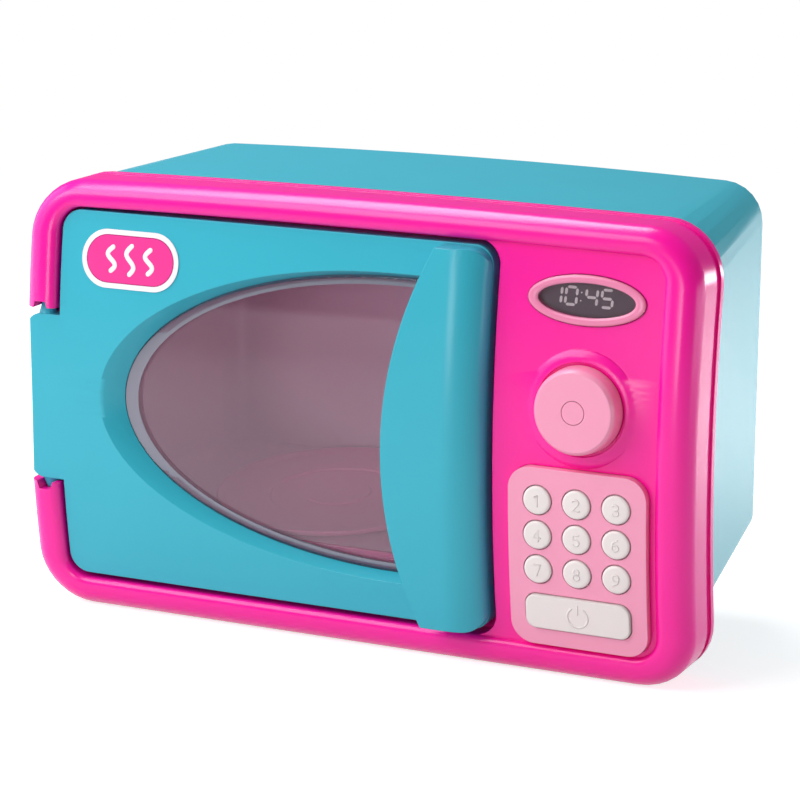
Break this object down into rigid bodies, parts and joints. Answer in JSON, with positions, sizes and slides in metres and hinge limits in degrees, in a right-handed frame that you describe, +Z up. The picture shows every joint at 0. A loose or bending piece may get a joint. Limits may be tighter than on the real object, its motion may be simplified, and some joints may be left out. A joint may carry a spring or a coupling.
{
  "type": "toy microwave oven",
  "caption": "Toy microwave oven with a bowed front frame, a hinged window door with a bow grip, a turning knob, sprung press keys and a free-spinning turntable.",
  "frame": {"origin": "centre of the bounding box's bottom, on the surface the oven stands on", "axes": "+X to the right as the user faces the door, +Z up, -Y out of the front"},
  "size_m": [0.32, 0.1488, 0.1997],
  "materials": {
    "hot_pink": "gloss moulded plastic",
    "soft_pink": "satin moulded plastic",
    "pale_pink": "gloss moulded plastic",
    "turquoise": "gloss moulded plastic",
    "white_key": "satin moulded plastic",
    "smoke_pane": "smoky clear plastic",
    "lens_clear": "clear plastic lens",
    "display_print": "printed card",
    "sticker_print": "printed glossy film",
    "grey_rubber": "matt silicone rubber",
    "dark_rubber": "matt rubber",
    "grey_board": "laminated board",
    "steel": "zinc-plated steel"
  },
  "bodies": {
    "oven": {"front_frame": "hot_pink", "housing": "turquoise", "leg_pads": "dark_rubber", "housing_screws": "steel", "cavity_liner": "pale_pink", "liner_screws": "steel", "catch_keeper": "turquoise", "detent_spring": "steel", "display_lens": "lens_clear", "display_card": "display_print", "keypad_plate": "soft_pink", "key_mat": "grey_rubber", "key_backing_plate": "grey_board", "backing_screws": "steel"},
    "door_leaf": {"door": "turquoise", "window_pane": "smoke_pane", "door_back_panel": "turquoise", "door_screws": "steel", "door_grip": "turquoise", "grip_screws": "steel", "sticker": "sticker_print"},
    "control_knob": {"knob": "soft_pink", "knob_cap": "soft_pink", "detent_wheel": "white_key", "knob_screw": "steel"},
    "turntable": {"turntable_plate": "soft_pink", "turntable_spindle": "soft_pink", "spindle_clip": "steel"},
    "key_1_body": {"key_1": "white_key"},
    "key_2_body": {"key_2": "white_key"},
    "key_3_body": {"key_3": "white_key"},
    "key_4_body": {"key_4": "white_key"},
    "key_5_body": {"key_5": "white_key"},
    "key_6_body": {"key_6": "white_key"},
    "key_7_body": {"key_7": "white_key"},
    "key_8_body": {"key_8": "white_key"},
    "key_9_body": {"key_9": "white_key"},
    "start_key_body": {"start_key": "white_key"}
  },
  "joints": [
    {"name": "door_hinge", "type": "hinge", "parent": "oven", "child": "door_leaf", "pos_m": [-0.151, -0.0574, 0.0995], "axis": [0, 0, -1], "range_deg": [0, 105]},
    {"name": "knob_turn", "type": "hinge", "parent": "oven", "child": "control_knob", "pos_m": [0.1102, -0.06294, 0.1205], "axis": [0, -0.999, 0.0441], "continuous": true},
    {"name": "turntable_spin", "type": "hinge", "parent": "oven", "child": "turntable", "pos_m": [-0.038, 0.0091, 0.04724], "axis": [0, -0.0993, 0.9951], "continuous": true},
    {"name": "key_1_press", "type": "slide", "parent": "oven", "child": "key_1_body", "axis": [0, 0.9992, 0.04], "range_m": [0, 0.0015], "stiffness_N_per_m": 200, "springref_m": -0.002},
    {"name": "key_2_press", "type": "slide", "parent": "oven", "child": "key_2_body", "axis": [0, 0.9992, 0.04], "range_m": [0, 0.0015], "stiffness_N_per_m": 200, "springref_m": -0.002},
    {"name": "key_3_press", "type": "slide", "parent": "oven", "child": "key_3_body", "axis": [0, 0.9992, 0.04], "range_m": [0, 0.0015], "stiffness_N_per_m": 200, "springref_m": -0.002},
    {"name": "key_4_press", "type": "slide", "parent": "oven", "child": "key_4_body", "axis": [0, 0.9974, 0.072], "range_m": [0, 0.0015], "stiffness_N_per_m": 200, "springref_m": -0.002},
    {"name": "key_5_press", "type": "slide", "parent": "oven", "child": "key_5_body", "axis": [0, 0.9974, 0.072], "range_m": [0, 0.0015], "stiffness_N_per_m": 200, "springref_m": -0.002},
    {"name": "key_6_press", "type": "slide", "parent": "oven", "child": "key_6_body", "axis": [0, 0.9974, 0.072], "range_m": [0, 0.0015], "stiffness_N_per_m": 200, "springref_m": -0.002},
    {"name": "key_7_press", "type": "slide", "parent": "oven", "child": "key_7_body", "axis": [0, 0.9946, 0.104], "range_m": [0, 0.0015], "stiffness_N_per_m": 200, "springref_m": -0.002},
    {"name": "key_8_press", "type": "slide", "parent": "oven", "child": "key_8_body", "axis": [0, 0.9946, 0.104], "range_m": [0, 0.0015], "stiffness_N_per_m": 200, "springref_m": -0.002},
    {"name": "key_9_press", "type": "slide", "parent": "oven", "child": "key_9_body", "axis": [0, 0.9946, 0.104], "range_m": [0, 0.0015], "stiffness_N_per_m": 200, "springref_m": -0.002},
    {"name": "start_key_press", "type": "slide", "parent": "oven", "child": "start_key_body", "axis": [0, 0.9896, 0.1437], "range_m": [0, 0.0015], "stiffness_N_per_m": 200, "springref_m": -0.002}
  ]
}
